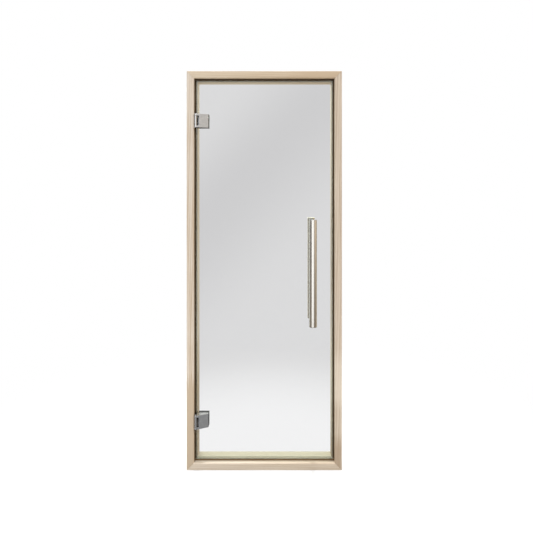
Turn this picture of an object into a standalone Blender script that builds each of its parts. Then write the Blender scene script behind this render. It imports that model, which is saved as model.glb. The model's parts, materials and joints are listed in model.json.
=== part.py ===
"""Framed glass sauna door: one tinted glass leaf on two clamp hinges in a mitred timber frame.

Metres, Z up. X runs from the hinge side to the strike side, Y away from the viewer.
The origin is the centre of the sill's underside. The leaf opens towards the viewer, to -Y.
A depth is measured back from the frame's front face, and a reach from the rebate wall of the
hinge jamb into the opening.
"""

import math

import bmesh
import bpy
from mathutils import Vector

# Frame
FRAME_WIDTH = 0.700
FRAME_HEIGHT = 1.800
FRAME_DEPTH = 0.070
FACE_WIDTH = 0.033
STOP_WIDTH = 0.012
INNER_ARRIS = 0.006
STOP_ARRIS = 0.001
BACK_ARRIS = 0.003
OUTER_ARRIS = 0.0015

# Glass leaf
GLASS_THICKNESS = 0.008
GLASS_SETBACK = 0.022
GLASS_GAP = 0.005
GLASS_GAP_STRIKE = 0.006
GLASS_ARRIS = 0.0008
GLASS_HOLE_RADIUS = 0.007

# Seal in the rebate: a thin leg let into the wall, and a lip behind the glass
SEAL_SPACE = 0.004
SEAL_GAP = 0.0006
SEAL_LEG = 0.001
SEAL_BASE = 0.0022
SEAL_INSET = 0.0015
SEAL_LIP_START = 0.004
SEAL_WIDTH = 0.0065
SEAL_ROUND = 0.0008

# Hinges
HINGE_INSET_LOW = 0.2196
HINGE_INSET_HIGH = 0.2236
HINGE_HEIGHT = 0.062
HINGE_REACH = 0.0637
PIN_REACH = 0.009
PIN_PROUD = 0.004
PIN_RADIUS = 0.003
PIN_SINK = 0.0005
EAR_RADIUS = 0.007
EAR_HEIGHT = 0.009
KNUCKLE_RADIUS = 0.0055
KNUCKLE_GAP = 0.0004
POCKET_REACH = 0.0235
POCKET_WALL = 0.0034
POCKET_ROUND = 0.003
CLAMP_HEEL_REACH = 0.014
CLAMP_EDGE = 0.0104
CLAMP_ARRIS = 0.0012
BACK_CLAMP_THICKNESS = 0.008
BACK_CLAMP_CLEARANCE = 0.005
GASKET_THICKNESS = 0.001
GASKET_MARGIN = 0.001
CLAMP_SCREW_REACH = 0.043
CLAMP_SCREW_SPACING = 0.032
CLAMP_SCREW_RADIUS = 0.003
CLAMP_SCREW_HEAD = 0.0055
CLAMP_SCREW_BITE = 0.009
LEAF_FACE_REACH = 0.0015
LEAF_WIDTH = 0.0106
LEAF_SCREW_INSET = 0.0055
LEAF_SCREW_RADIUS = 0.00175
LEAF_SCREW_HEAD = 0.0035
LEAF_SCREW_LENGTH = 0.025

# Handle
HANDLE_HEIGHT = 0.897
HANDLE_LENGTH = 0.472
HANDLE_FROM_EDGE = 0.0945
TUBE_RADIUS = 0.0173
TUBE_WALL = 0.0015
TUBE_STANDOFF = 0.064
CAP_THICKNESS = 0.0025
CAP_SPIGOT = 0.008
CAP_ARRIS = 0.0008
POST_SPACING = 0.300
POST_RADIUS = 0.009
WASHER_RADIUS = 0.011
WASHER_THICKNESS = 0.0015
BOLT_RADIUS = 0.004
BOLT_BITE = 0.014

# The gap that pieces in contact keep, and how far a cutter runs past what it cuts
FIT = 0.0003
OVERRUN = 0.003

ARC_STEPS = 4
TUBE_SIDES = 32
SMALL_SIDES = 16

# Worked out from the sizes above
FRONT_Y = -FRAME_DEPTH / 2
WALL_X = -FRAME_WIDTH / 2 + FACE_WIDTH
REBATE_DEPTH = GLASS_SETBACK + GLASS_THICKNESS + SEAL_SPACE
GLASS_BACK = GLASS_SETBACK + GLASS_THICKNESS
SEAL_START = INNER_ARRIS + SEAL_INSET
GLASS_LEFT = WALL_X + GLASS_GAP
GLASS_RIGHT = FRAME_WIDTH / 2 - FACE_WIDTH - GLASS_GAP_STRIKE
GLASS_LOW = FACE_WIDTH + GLASS_GAP
GLASS_HIGH = FRAME_HEIGHT - FACE_WIDTH - GLASS_GAP
PIN_X = WALL_X + PIN_REACH
PIN_Y = FRONT_Y - PIN_PROUD
GASKET_SPACE = GASKET_THICKNESS + 2 * FIT
WASHER_SPACE = WASHER_THICKNESS + 2 * FIT
HANDLE_X = GLASS_RIGHT - HANDLE_FROM_EDGE
HINGES = {"lower": HINGE_INSET_LOW, "upper": FRAME_HEIGHT - HINGE_INSET_HIGH}


def clear_scene():
    """Start from an empty file."""
    for thing in list(bpy.data.objects):
        bpy.data.objects.remove(thing, do_unlink=True)


def make_material(name, colour, roughness, metallic=0.0, transmission=0.0):
    """Principled material from a linear colour."""
    material = bpy.data.materials.new(name)
    material.use_nodes = True
    shader = material.node_tree.nodes["Principled BSDF"]
    shader.inputs["Base Color"].default_value = (*colour, 1.0)
    shader.inputs["Roughness"].default_value = roughness
    shader.inputs["Metallic"].default_value = metallic
    shader.inputs["Transmission Weight"].default_value = transmission
    return material


def from_pin_x(reach):
    """A reach from the rebate wall, as X measured from the pin."""
    return reach - PIN_REACH


def from_pin_y(depth):
    """A depth behind the frame's front, as Y measured from the pin."""
    return depth + PIN_PROUD


def rounded(corners):
    """Outline through (x, y, radius) corners, with an arc at each that has a radius."""
    outline = []
    for index, (x, y, radius) in enumerate(corners):
        corner = Vector((x, y))
        if radius == 0:
            outline.append(corner)
            continue
        before = (Vector(corners[index - 1][:2]) - corner).normalized()
        after = (Vector(corners[(index + 1) % len(corners)][:2]) - corner).normalized()
        half = before.angle(after) / 2
        centre = corner + (before + after).normalized() * radius / math.sin(half)
        start = corner + before * radius / math.tan(half) - centre
        end = corner + after * radius / math.tan(half) - centre
        first = math.atan2(start.y, start.x)
        sweep = (math.atan2(end.y, end.x) - first + math.pi) % (2 * math.pi) - math.pi
        outline += arc(centre, radius, first, first + sweep, ARC_STEPS)
    return outline


def arc(centre, radius, first, last, steps):
    """Points along an arc, both ends included."""
    angles = [first + (last - first) * step / steps for step in range(steps + 1)]
    return [
        Vector((centre[0] + radius * math.cos(a), centre[1] + radius * math.sin(a)))
        for a in angles
    ]


def tangent_angle(point, radius, side):
    """Angle about the origin where the tangent from a point touches a circle there."""
    far = math.hypot(*point)
    return math.atan2(point[1], point[0]) + side * math.acos(radius / far)


def finish_mesh(name, bm, smooth=False):
    """Mesh with its faces pointing out."""
    bmesh.ops.recalc_face_normals(bm, faces=bm.faces)
    mesh = bpy.data.meshes.new(name)
    bm.to_mesh(mesh)
    bm.free()
    if smooth:
        mesh.shade_smooth()
        mesh.set_sharp_from_angle(angle=math.radians(30))
    return mesh


def join_loops(bm, first, second):
    """Quads between two closed loops of as many vertices."""
    for index in range(len(first)):
        after = (index + 1) % len(first)
        bm.faces.new((first[index], first[after], second[after], second[index]))


def prism(name, outline, low, high, arris=0.0):
    """Outline in X and Y made solid from low to high, its end rims bevelled if asked."""
    bm = bmesh.new()
    loops = [[bm.verts.new((x, y, z)) for x, y in outline] for z in (low, high)]
    ends = [bm.faces.new(loop) for loop in loops]
    join_loops(bm, *loops)
    if arris:
        rims = [edge for end in ends for edge in end.edges]
        bmesh.ops.bevel(bm, geom=rims, offset=arris, segments=2, profile=0.5, affect="EDGES")
    return finish_mesh(name, bm)


def turned(name, outline, sides):
    """Solid turned about Z from (radius, height) points, a ring if none is on the axis."""
    bm = bmesh.new()
    rings = []
    for radius, height in outline:
        count = sides if radius > 0 else 1
        turns = [2 * math.pi * index / sides for index in range(count)]
        places = [(radius * math.cos(t), radius * math.sin(t), height) for t in turns]
        rings.append([bm.verts.new(place) for place in places])
    pairs = list(zip(rings, rings[1:]))
    if outline[0][0] > 0:
        pairs.append((rings[-1], rings[0]))
    for first, second in pairs:
        for index in range(sides):
            after = (index + 1) % sides
            corners = [first[index % len(first)], first[after % len(first)]]
            corners += [second[after % len(second)], second[index % len(second)]]
            bm.faces.new(dict.fromkeys(corners))
    return finish_mesh(name, bm, smooth=True)


def rod(name, radius, low, high, sides):
    """Plain round bar along Z."""
    return turned(name, [(0, low), (radius, low), (radius, high), (0, high)], sides)


def box(name, low, high, round_edges_along_y=0.0):
    """Block between two corners, the edges that run along Y rounded if asked."""
    bm = bmesh.new()
    bmesh.ops.create_cube(bm, size=1.0)
    middle = (Vector(low) + Vector(high)) / 2
    sides = Vector(high) - Vector(low)
    for vertex in bm.verts:
        vertex.co = Vector(a * b for a, b in zip(vertex.co, sides)) + middle
    if round_edges_along_y:
        along = [e for e in bm.edges if abs(e.verts[0].co.y - e.verts[1].co.y) > 1e-6]
        bmesh.ops.bevel(
            bm, geom=along, offset=round_edges_along_y, segments=4, profile=0.5, affect="EDGES"
        )
    return finish_mesh(name, bm)


def add(name, mesh, parent, location, material=None, rotation=(0, 0, 0)):
    """Object under its parent, placed by its world location."""
    thing = bpy.data.objects.new(name, mesh)
    bpy.context.scene.collection.objects.link(thing)
    thing.parent = parent
    thing.location = Vector(location) - (parent.location if parent else Vector())
    thing.rotation_euler = rotation
    if material:
        mesh.materials.clear()
        mesh.materials.append(material)
    return thing


def cutter(name, mesh, parent, location, rotation=(0, 0, 0)):
    """Closed shape that only cuts."""
    thing = add(name, mesh, parent, location, rotation=rotation)
    thing.hide_render = True
    thing.display_type = "WIRE"
    return thing


def combine(target, tool, operation="DIFFERENCE"):
    """Boolean of one object with another."""
    modifier = target.modifiers.new(tool.name, "BOOLEAN")
    modifier.operation = operation
    modifier.solver = "EXACT"
    modifier.object = tool


def mitred_bar(name, outline, length):
    """Bar along X with both ends mitred. The outline is (inward, depth) across the bar."""
    bm = bmesh.new()
    trim = FIT / math.sqrt(2)
    starts = [bm.verts.new((inward + trim, depth, inward)) for inward, depth in outline]
    stops = [bm.verts.new((length - inward - trim, depth, inward)) for inward, depth in outline]
    bm.faces.new(starts)
    bm.faces.new(stops)
    join_loops(bm, starts, stops)
    return finish_mesh(name, bm)


def frame_outline():
    """Section of the timber: face, rounded arris, recess for the seal's leg, stop."""
    recess = FACE_WIDTH - SEAL_LEG - FIT
    inner = FACE_WIDTH + STOP_WIDTH
    return rounded([
        (0, 0, OUTER_ARRIS),
        (FACE_WIDTH, 0, INNER_ARRIS),
        (FACE_WIDTH, SEAL_START, 0),
        (recess, SEAL_START, 0),
        (recess, REBATE_DEPTH, 0),
        (inner, REBATE_DEPTH, STOP_ARRIS),
        (inner, FRAME_DEPTH, BACK_ARRIS),
        (0, FRAME_DEPTH, OUTER_ARRIS),
    ])


def seal_outline():
    """Section of the seal: the leg on the rebate wall, and the lip behind the glass."""
    leg = FACE_WIDTH - SEAL_LEG
    foot = REBATE_DEPTH - FIT
    lip = GLASS_BACK + SEAL_GAP
    base = foot - SEAL_BASE
    return rounded([
        (leg, SEAL_START + FIT, 0),
        (FACE_WIDTH, SEAL_START + FIT, 0),
        (FACE_WIDTH, base, 0),
        (FACE_WIDTH + SEAL_LIP_START, base, 0),
        (FACE_WIDTH + SEAL_LIP_START, lip, SEAL_ROUND),
        (FACE_WIDTH + SEAL_WIDTH, lip, SEAL_ROUND),
        (FACE_WIDTH + SEAL_WIDTH, foot, 0),
        (leg, foot, 0),
    ])


def build_frame(root, timber, rubber):
    """Four mitred bars round the opening, and the seal in the rebate of all but the sill."""
    left, right = -FRAME_WIDTH / 2, FRAME_WIDTH / 2
    runs = {
        "sill": (left, 0, 0, FRAME_WIDTH, None),
        "strike_jamb": (right, 0, -90, FRAME_HEIGHT, "seal_strike_side"),
        "head": (right, FRAME_HEIGHT, 180, FRAME_WIDTH, "seal_top"),
        "hinge_jamb": (left, FRAME_HEIGHT, 90, FRAME_HEIGHT, "seal_hinge_side"),
    }
    made = {}
    for bar, (x, z, turn, length, seal) in runs.items():
        rotation = (0, math.radians(turn), 0)
        place = (x, FRONT_Y, z)
        section = mitred_bar(bar, frame_outline(), length)
        made[bar] = add(bar, section, root, place, timber, rotation)
        if seal:
            section = mitred_bar(seal, seal_outline(), length)
            made[seal] = add(seal, section, root, place, rubber, rotation)
    return made


def front_clamp_outline():
    """Plan of the front clamp about the pin: an ear, a sloping face, and the back on the glass."""
    back = from_pin_y(GLASS_SETBACK - GASKET_SPACE)
    free = from_pin_x(HINGE_REACH)
    face_end = (free, back - CLAMP_EDGE)
    heel = (from_pin_x(CLAMP_HEEL_REACH), back)
    first = tangent_angle(heel, EAR_RADIUS, 1)
    last = tangent_angle(face_end, EAR_RADIUS, -1) + 2 * math.pi
    ear = arc((0, 0), EAR_RADIUS, first, last, 2 * ARC_STEPS)
    return [*ear, Vector(face_end), Vector((free, back)), Vector(heel)]


def front_clamp_mesh(name):
    """Front clamp with the arrises of its ends and its free edge broken."""
    bm = bmesh.new()
    half = HINGE_HEIGHT / 2
    outline = front_clamp_outline()
    loops = [[bm.verts.new((x, y, z)) for x, y in outline] for z in (-half, half)]
    ends = [bm.faces.new(loop) for loop in loops]
    join_loops(bm, *loops)
    rims = {edge for end in ends for edge in end.edges}
    free = from_pin_x(HINGE_REACH)
    rims |= {e for e in bm.edges if all(abs(v.co.x - free) < 1e-6 for v in e.verts)}
    bmesh.ops.bevel(
        bm, geom=list(rims), offset=CLAMP_ARRIS, segments=2, profile=0.5, affect="EDGES"
    )
    return finish_mesh(name, bm)


def arm_outline():
    """Plan of the knuckle and the web that carries it from the plate on the jamb."""
    plate = from_pin_x(LEAF_FACE_REACH) - SEAL_LEG
    start = from_pin_y(SEAL_START + FIT)
    front_root = (plate, start + 0.1 * LEAF_WIDTH)
    back_root = (plate, start + 0.75 * LEAF_WIDTH)
    waist = (-0.55 * KNUCKLE_RADIUS, KNUCKLE_RADIUS + PIN_RADIUS)
    first = tangent_angle(front_root, KNUCKLE_RADIUS, 1)
    last = tangent_angle(waist, KNUCKLE_RADIUS, -1) + 2 * math.pi
    barrel = arc((0, 0), KNUCKLE_RADIUS, first, last, 4 * ARC_STEPS)
    return [*barrel, Vector(waist), Vector(back_root), Vector(front_root)]


def countersunk(name, shank, head, length):
    """Screw along Z with its flat head's top at zero and its shank below it."""
    rim = -FIT
    outline = [(0, 0), (head, 0), (head, rim), (shank, rim - (head - shank))]
    return turned(name, [*outline, (shank, -length), (0, -length)], SMALL_SIDES)


def screw_hole(name, shank, head, length, above):
    """Cutter that fits a countersunk screw with the usual gap all round."""
    rim = -2 * FIT
    wide, narrow = head + FIT, shank + FIT
    outline = [(0, above), (wide, above), (wide, rim), (narrow, rim - (head - shank))]
    return turned(name, [*outline, (narrow, -length - FIT), (0, -length - FIT)], SMALL_SIDES)


def build_hinge(which, height, root, pivot, frame, glass, finishes):
    """One hinge: plate, knuckle and pin on the jamb, and two clamps on the glass."""
    chrome, steel, rubber = finishes
    half = HINGE_HEIGHT / 2
    at_pin = (PIN_X, PIN_Y, height)
    back_of_front = from_pin_y(GLASS_SETBACK - GASKET_SPACE)
    front_of_back = from_pin_y(GLASS_BACK + GASKET_SPACE)
    back_face = front_of_back + BACK_CLAMP_THICKNESS
    free = from_pin_x(HINGE_REACH)

    # Plate let into the jamb, with its arm and knuckle
    plate_low = (from_pin_x(-SEAL_LEG), from_pin_y(SEAL_START + FIT), -half)
    plate_high = (from_pin_x(LEAF_FACE_REACH), plate_low[1] + LEAF_WIDTH, half)
    plate = box(f"{which}_jamb_leaf", plate_low, plate_high)
    leaf = add(f"{which}_jamb_leaf", plate, root, at_pin, chrome)
    knuckle = half - EAR_HEIGHT - KNUCKLE_GAP
    arm = prism(f"{which}_arm", arm_outline(), -knuckle, knuckle)
    combine(leaf, cutter(f"{which}_arm", arm, root, at_pin), "UNION")
    bore = rod(f"{which}_bore", PIN_RADIUS + FIT, -half - OVERRUN, half + OVERRUN, SMALL_SIDES)
    pin_bore = cutter(f"{which}_pin_bore", bore, root, at_pin)
    combine(leaf, pin_bore)
    reach = half - PIN_SINK
    pin = rod(f"{which}_hinge_pin", PIN_RADIUS, -reach, reach, SMALL_SIDES)
    add(f"{which}_hinge_pin", pin, root, at_pin, steel)

    # Room for the plate in the seal's leg
    low = (plate_low[0] - OVERRUN, plate_low[1] - OVERRUN, -half - FIT)
    high = (from_pin_x(OVERRUN), plate_high[1] + FIT, half + FIT)
    notch = cutter(f"{which}_seal_notch", box(f"{which}_notch", low, high), root, at_pin)
    combine(frame["seal_hinge_side"], notch)

    # Screws through the plate into the jamb
    into_jamb = (0, math.radians(90), 0)
    for end, side in (("high", 1), ("low", -1)):
        place = (
            PIN_X + plate_high[0],
            PIN_Y + (plate_low[1] + plate_high[1]) / 2,
            height + side * (half - LEAF_SCREW_INSET),
        )
        name = f"{which}_leaf_screw_{end}"
        sizes = (LEAF_SCREW_RADIUS, LEAF_SCREW_HEAD, LEAF_SCREW_LENGTH)
        add(name, countersunk(name, *sizes), root, place, steel, into_jamb)
        hole = screw_hole(f"{name}_hole", *sizes, OVERRUN)
        hole = cutter(f"{name}_hole", hole, root, place, into_jamb)
        combine(leaf, hole)
        combine(frame["hinge_jamb"], hole)

    # Front clamp, with the pocket that the knuckle turns in
    name = f"{which}_front_clamp"
    front = add(name, front_clamp_mesh(name), pivot, at_pin, chrome)
    low = (-EAR_RADIUS - OVERRUN, -EAR_RADIUS - OVERRUN, EAR_HEIGHT - half)
    high = (from_pin_x(POCKET_REACH), back_of_front - POCKET_WALL, half - EAR_HEIGHT)
    pocket = box(f"{which}_pocket", low, high, POCKET_ROUND)
    combine(front, cutter(f"{which}_pocket", pocket, pivot, at_pin))
    combine(front, pin_bore)

    # Back clamp and the two gaskets
    margin_low = from_pin_x(STOP_WIDTH + BACK_CLAMP_CLEARANCE)
    corners = [(margin_low, front_of_back), (free, front_of_back)]
    corners += [(free, back_face), (margin_low, back_face)]
    name = f"{which}_back_clamp"
    back = add(name, prism(name, corners, -half, half, CLAMP_ARRIS), pivot, at_pin, chrome)
    high_z = half - GASKET_MARGIN
    front_gasket_low = (from_pin_x(CLAMP_HEEL_REACH) + GASKET_MARGIN, back_of_front + FIT, -high_z)
    front_gasket_high = (free - GASKET_MARGIN, from_pin_y(GLASS_SETBACK) - FIT, high_z)
    back_gasket_low = (margin_low + GASKET_MARGIN, from_pin_y(GLASS_BACK) + FIT, -high_z)
    back_gasket_high = (free - GASKET_MARGIN, front_of_back - FIT, high_z)
    gaskets = []
    for name, low, high in (
        (f"{which}_front_gasket", front_gasket_low, front_gasket_high),
        (f"{which}_back_gasket", back_gasket_low, back_gasket_high),
    ):
        gaskets.append(add(name, box(name, low, high), pivot, at_pin, rubber))

    # Screws from the back clamp through the glass into the front clamp
    from_back = (math.radians(-90), 0, 0)
    length = back_face - back_of_front + CLAMP_SCREW_BITE
    for end, side in (("high", 1), ("low", -1)):
        across = WALL_X + CLAMP_SCREW_REACH
        level = height + side * CLAMP_SCREW_SPACING / 2
        place = (across, PIN_Y + back_face, level)
        name = f"{which}_clamp_screw_{end}"
        sizes = (CLAMP_SCREW_RADIUS, CLAMP_SCREW_HEAD, length)
        add(name, countersunk(name, *sizes), pivot, place, steel, from_back)
        hole = screw_hole(f"{name}_hole", *sizes, OVERRUN)
        hole = cutter(f"{name}_hole", hole, pivot, place, from_back)
        for piece in (back, front, *gaskets):
            combine(piece, hole)
        drill_glass(glass, pivot, f"{name}_glass_hole", across, level)


def drill_glass(glass, pivot, name, x, z):
    """Round hole through the glass."""
    reach = GLASS_THICKNESS / 2 + OVERRUN
    mesh = rod(name, GLASS_HOLE_RADIUS, -reach, reach, SMALL_SIDES)
    middle = FRONT_Y + GLASS_SETBACK + GLASS_THICKNESS / 2
    combine(glass, cutter(name, mesh, pivot, (x, middle, z), (math.radians(90), 0, 0)))


def build_glass(pivot, tinted):
    """The pane, drilled later by the hinges and the handle."""
    low = (GLASS_LEFT, FRONT_Y + GLASS_SETBACK, GLASS_LOW)
    high = (GLASS_RIGHT, FRONT_Y + GLASS_BACK, GLASS_HIGH)
    middle = (Vector(low) + Vector(high)) / 2
    wide, thick, tall = (Vector(high) - Vector(low)) / 2
    corners = [(-wide, -tall), (wide, -tall), (wide, tall), (-wide, tall)]
    pane = prism("glass_pane", corners, -thick, thick, GLASS_ARRIS)
    return add("glass_pane", pane, pivot, middle, tinted, (math.radians(90), 0, 0))


def tube_mesh(name):
    """Open tube between its caps."""
    half = HANDLE_LENGTH / 2 - CAP_THICKNESS - FIT
    inner = TUBE_RADIUS - TUBE_WALL
    outline = [(TUBE_RADIUS, -half), (TUBE_RADIUS, half), (inner, half), (inner, -half)]
    return turned(name, outline, TUBE_SIDES)


def cap_mesh(name):
    """End cap with its outer face up, and a spigot that goes into the tube."""
    spigot = TUBE_RADIUS - TUBE_WALL - FIT
    top = CAP_THICKNESS
    outline = [(0, top), (TUBE_RADIUS - CAP_ARRIS, top), (TUBE_RADIUS, top - CAP_ARRIS)]
    outline += [(TUBE_RADIUS, 0), (spigot, 0), (spigot, -CAP_SPIGOT), (0, -CAP_SPIGOT)]
    return turned(name, outline, TUBE_SIDES)


def build_handle(pivot, glass, finishes):
    """A tube on each side of the glass, on posts bolted to each other through it."""
    chrome, steel, rubber = finishes
    toward = math.radians(90)
    faces = {
        "outer": (FRONT_Y + GLASS_SETBACK, -1),
        "inner": (FRONT_Y + GLASS_BACK, 1),
    }
    levels = {
        "high": HANDLE_HEIGHT + POST_SPACING / 2,
        "low": HANDLE_HEIGHT - POST_SPACING / 2,
    }
    for side, (face, way) in faces.items():
        axis_y = face + way * TUBE_STANDOFF
        name = f"{side}_handle_tube"
        centre = (HANDLE_X, axis_y, HANDLE_HEIGHT)
        add(name, tube_mesh(name), pivot, centre, steel)
        for end, up in (("top", 1), ("bottom", -1)):
            name = f"{side}_handle_cap_{end}"
            level = HANDLE_HEIGHT + up * (HANDLE_LENGTH / 2 - CAP_THICKNESS)
            turn = (0, 0, 0) if up > 0 else (math.pi, 0, 0)
            add(name, cap_mesh(name), pivot, (HANDLE_X, axis_y, level), steel, turn)
        reach = HANDLE_LENGTH / 2
        saddle = rod(f"{side}_saddle", TUBE_RADIUS + FIT, -reach, reach, TUBE_SIDES)
        saddle = cutter(f"{side}_saddle", saddle, pivot, centre)
        for end, level in levels.items():
            turn = (toward * -way, 0, 0)
            place = (HANDLE_X, face, level)
            name = f"{side}_post_{end}"
            start, stop = WASHER_SPACE, TUBE_STANDOFF - TUBE_RADIUS / 2
            post = rod(name, POST_RADIUS, start, stop, SMALL_SIDES)
            post = add(name, post, pivot, place, steel, turn)
            combine(post, saddle)
            drill = rod(f"{name}_bore", BOLT_RADIUS + FIT, 0, WASHER_SPACE + BOLT_BITE, SMALL_SIDES)
            combine(post, cutter(f"{name}_bore", drill, pivot, place, turn))
            name = f"{side}_washer_{end}"
            hole, top = BOLT_RADIUS + FIT, FIT + WASHER_THICKNESS
            ring = [(WASHER_RADIUS, FIT), (WASHER_RADIUS, top), (hole, top), (hole, FIT)]
            add(name, turned(name, ring, SMALL_SIDES), pivot, place, rubber, turn)
    middle = FRONT_Y + GLASS_SETBACK + GLASS_THICKNESS / 2
    reach = GLASS_THICKNESS / 2 + WASHER_SPACE + BOLT_BITE - FIT
    for end, level in levels.items():
        name = f"handle_bolt_{end}"
        bolt = rod(name, BOLT_RADIUS, -reach, reach, SMALL_SIDES)
        add(name, bolt, pivot, (HANDLE_X, middle, level), steel, (toward, 0, 0))
        drill_glass(glass, pivot, f"handle_hole_{end}", HANDLE_X, level)


def build_door():
    """The whole door, its leaf closed."""
    clear_scene()
    timber = make_material("pale_timber", (0.62, 0.52, 0.40), 0.55)
    tinted = make_material("tinted_glass", (0.70, 0.71, 0.71), 0.02, transmission=0.9)
    chrome = make_material("chrome", (0.60, 0.60, 0.61), 0.18, metallic=1.0)
    steel = make_material("brushed_steel", (0.66, 0.65, 0.63), 0.28, metallic=1.0)
    rubber = make_material("brown_rubber", (0.07, 0.045, 0.03), 0.7)
    finishes = (chrome, steel, rubber)

    root = add("door_frame", None, None, (0, 0, 0))
    pivot = add("door_leaf", None, root, (PIN_X, PIN_Y, 0))
    frame = build_frame(root, timber, rubber)
    glass = build_glass(pivot, tinted)
    for which, height in HINGES.items():
        build_hinge(which, height, root, pivot, frame, glass, finishes)
    build_handle(pivot, glass, finishes)


build_door()
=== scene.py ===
import json
import math

import bmesh
import bpy
from mathutils import Matrix, Vector


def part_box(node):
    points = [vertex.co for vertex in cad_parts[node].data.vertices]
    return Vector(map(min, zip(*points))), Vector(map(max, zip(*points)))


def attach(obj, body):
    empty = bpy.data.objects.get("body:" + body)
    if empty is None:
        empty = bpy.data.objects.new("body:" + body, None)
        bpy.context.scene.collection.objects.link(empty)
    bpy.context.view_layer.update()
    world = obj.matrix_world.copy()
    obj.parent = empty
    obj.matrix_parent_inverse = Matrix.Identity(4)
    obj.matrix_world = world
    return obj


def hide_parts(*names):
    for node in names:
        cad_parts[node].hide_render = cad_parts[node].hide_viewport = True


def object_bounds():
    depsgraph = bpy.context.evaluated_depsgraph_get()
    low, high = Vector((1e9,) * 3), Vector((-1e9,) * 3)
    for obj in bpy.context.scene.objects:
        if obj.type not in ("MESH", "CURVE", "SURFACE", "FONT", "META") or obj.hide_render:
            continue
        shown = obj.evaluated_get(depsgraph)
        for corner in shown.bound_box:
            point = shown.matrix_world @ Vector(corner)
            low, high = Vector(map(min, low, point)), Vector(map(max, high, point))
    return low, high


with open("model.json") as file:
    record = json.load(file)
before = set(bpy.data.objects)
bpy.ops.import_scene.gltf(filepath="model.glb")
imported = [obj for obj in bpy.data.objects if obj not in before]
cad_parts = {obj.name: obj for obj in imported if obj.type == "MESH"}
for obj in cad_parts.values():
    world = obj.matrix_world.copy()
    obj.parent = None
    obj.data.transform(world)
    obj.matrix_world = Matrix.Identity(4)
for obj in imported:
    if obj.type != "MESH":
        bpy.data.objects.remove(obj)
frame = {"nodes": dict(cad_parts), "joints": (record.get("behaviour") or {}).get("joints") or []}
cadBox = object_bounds()
print("frame loaded:", len(frame["nodes"]), "nodes")

mm = 0.001
scene = bpy.context.scene
scene.view_settings.view_transform = "Standard"
swing = frame["joints"][0]
pinX, pinY = swing["pos_m"][:2]


# Small helpers for shapes

def arc(centre, radius, first, last, steps):
    turns = [first + (last - first) * step / steps for step in range(steps + 1)]
    return [Vector((centre[0] + radius * math.cos(t), centre[1] + radius * math.sin(t))) for t in turns]


def rounded(corners, steps=8):
    # outline through (x, y, radius) corners, an arc where the radius isn't zero
    outline = []
    for index, (x, y, radius) in enumerate(corners):
        corner = Vector((x, y))
        if radius == 0:
            outline.append(corner)
            continue
        before = (Vector(corners[index - 1][:2]) - corner).normalized()
        after = (Vector(corners[(index + 1) % len(corners)][:2]) - corner).normalized()
        half = before.angle(after) / 2
        centre = corner + (before + after).normalized() * radius / math.sin(half)
        start = corner + before * radius / math.tan(half) - centre
        end = corner + after * radius / math.tan(half) - centre
        first = math.atan2(start.y, start.x)
        sweep = (math.atan2(end.y, end.x) - first + math.pi) % (2 * math.pi) - math.pi
        outline += arc(centre, radius, first, first + sweep, steps)
    return outline


def tangentAngle(point, radius, side):
    # where the tangent from a point touches a circle about the origin
    return math.atan2(point[1], point[0]) + side * math.acos(radius / math.hypot(*point))


def loft(loops, closed=False):
    # solid through loops of as many points each, or a ring of them when closed
    bm = bmesh.new()
    rings = [[bm.verts.new(point) for point in loop] for loop in loops]
    pairs = list(zip(rings, rings[1:]))
    if closed:
        pairs.append((rings[-1], rings[0]))
    else:
        bm.faces.new(rings[0])
        bm.faces.new(rings[-1])
    for first, second in pairs:
        for index in range(len(first)):
            after = (index + 1) % len(first)
            bm.faces.new((first[index], first[after], second[after], second[index]))
    bmesh.ops.recalc_face_normals(bm, faces=bm.faces)
    return bm


def prism(outline, low, high):
    return loft([[(x, y, z) for x, y in outline] for z in (low, high)])


def turned(profile, sides=64, closed=False):
    # solid turned about Z from (radius, height) points
    steps = [2 * math.pi * index / sides for index in range(sides)]
    return loft([[(r * math.cos(t), r * math.sin(t), z) for t in steps] for r, z in profile], closed)


def block(low, high):
    (x0, y0, z0), (x1, y1, z1) = low, high
    return prism([(x0, y0), (x1, y0), (x1, y1), (x0, y1)], z0, z1)


def makeObject(name, bm, place=(0, 0, 0), turn=(0, 0, 0)):
    mesh = bpy.data.meshes.new(name)
    bm.to_mesh(mesh)
    bm.free()
    thing = bpy.data.objects.new(name, mesh)
    scene.collection.objects.link(thing)
    thing.location = place
    thing.rotation_euler = turn
    return thing


def combine(thing, tools, operation="DIFFERENCE"):
    # Booleans made part of the mesh, their tools deleted
    for tool in tools:
        step = thing.modifiers.new(tool.name, "BOOLEAN")
        step.operation = operation
        step.solver = "EXACT"
        step.object = tool
    graph = bpy.context.evaluated_depsgraph_get()
    mesh = bpy.data.meshes.new_from_object(thing.evaluated_get(graph))
    thing.modifiers.clear()
    thing.data = mesh
    for tool in tools:
        bpy.data.objects.remove(tool)


def dress(thing, body, materials, nodes, arris=0.0, sharp=35):
    # edges eased and shaded, materials given, and the piece hung on its body
    thing.data.shade_smooth()
    thing.data.set_sharp_from_angle(angle=math.radians(sharp))
    if arris:
        ease = thing.modifiers.new("easedEdges", "BEVEL")
        ease.width = arris
        ease.segments = 3
        ease.limit_method = "ANGLE"
        ease.angle_limit = math.radians(sharp)
        ease.harden_normals = True
    for material in materials:
        thing.data.materials.append(material)
    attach(thing, body)
    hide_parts(*nodes)


# Small helpers for materials

def linear(code):
    # sRGB hex to the linear colour that shaders take
    parts = [int(code[at:at + 2], 16) / 255 for at in (1, 3, 5)]
    return (*[c / 12.92 if c <= 0.04045 else ((c + 0.055) / 1.055) ** 2.4 for c in parts], 1.0)


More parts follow.
